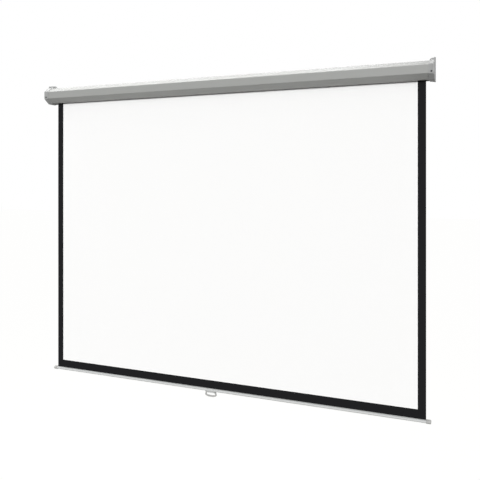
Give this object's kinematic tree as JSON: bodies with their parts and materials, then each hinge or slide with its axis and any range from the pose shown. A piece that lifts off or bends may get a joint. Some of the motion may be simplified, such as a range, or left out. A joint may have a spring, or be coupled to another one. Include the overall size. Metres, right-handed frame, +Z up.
{
  "type": "pull-down projection screen",
  "caption": "Wall-hung projection screen: a folded steel case with end caps holds a spring roller with a pawl lock, fabric with black borders, a slotted bar and a hinged pull loop.",
  "frame": {"origin": "middle of the case's rear face, where it meets the wall", "axes": "+X along the screen to the viewer's right, +Y into the wall, +Z up"},
  "size_m": [1.836, 0.0787, 1.443],
  "materials": {
    "painted_steel": "satin light grey paint",
    "cap_plastic": "fine moulded texture",
    "zinc_steel": "bright zinc plate",
    "spring_steel": "oiled spring wire",
    "tube_steel": "galvanised",
    "nylon": "natural moulded nylon",
    "die_cast": "as cast",
    "white_fabric": "matt white coated cloth with black borders",
    "black_fabric": "matt black print on coated cloth",
    "bar_paint": "satin white paint",
    "handle_plastic": "smooth moulded plastic"
  },
  "bodies": {
    "case": {"case_shell": "painted_steel", "right_end_cap": "cap_plastic", "left_end_cap": "cap_plastic", "right_cap_screw": "zinc_steel", "left_cap_screw": "zinc_steel", "spring_bracket": "zinc_steel", "idler_bracket": "zinc_steel", "idler_bracket_screw_upper": "zinc_steel", "spring_bracket_screw_upper": "zinc_steel", "idler_bracket_screw_lower": "zinc_steel", "spring_bracket_screw_lower": "zinc_steel", "spindle": "zinc_steel", "spindle_circlip": "spring_steel", "ratchet_wheel": "die_cast", "spring_hub": "nylon", "idler_bush": "nylon", "screen_fabric": "white_fabric"},
    "roller": {"roller_tube": "tube_steel", "wound_fabric": "white_fabric", "ratchet_ferrule": "die_cast", "upper_pawl_pin": "zinc_steel", "lower_pawl_pin": "zinc_steel", "counterbalance_spring": "spring_steel", "spring_anchor": "nylon", "idler_plug": "nylon", "idler_pin": "zinc_steel"},
    "pawl_upper": {"upper_pawl": "zinc_steel"},
    "pawl_lower": {"lower_pawl": "zinc_steel"},
    "bar": {"fabric_hem": "black_fabric", "hem_rod": "zinc_steel", "bottom_bar": "bar_paint", "right_bar_cap": "handle_plastic", "left_bar_cap": "handle_plastic", "handle_clip": "handle_plastic", "handle_pin": "zinc_steel"},
    "handle": {"pull_handle": "handle_plastic"}
  },
  "joints": [
    {"name": "screen_lift", "type": "slide", "parent": "case", "child": "bar", "axis": [0, 0, 1], "range_m": [0, 1.3085], "deforming": ["screen_fabric"]},
    {"name": "roller_spin", "type": "hinge", "parent": "case", "child": "roller", "pos_m": [0, -0.0359, 0], "axis": [1, 0, 0], "range_deg": [0, 3871]},
    {"name": "handle_swing", "type": "hinge", "parent": "bar", "child": "handle", "pos_m": [-0.038, -0.0165, -1.36645], "axis": [1, 0, 0], "range_deg": [-75, 35]},
    {"name": "upper_pawl_swing", "type": "hinge", "parent": "roller", "child": "pawl_upper", "pos_m": [-0.9004, -0.02551, 0.006], "axis": [1, 0, 0], "range_deg": [-28, 8.5]},
    {"name": "lower_pawl_swing", "type": "hinge", "parent": "roller", "child": "pawl_lower", "pos_m": [-0.9004, -0.04629, -0.006], "axis": [1, 0, 0], "range_deg": [-28, 8.5]}
  ],
  "couplings": [
    {"joint": "roller_spin", "follows": "screen_lift", "rad_per_m": 51.62}
  ]
}
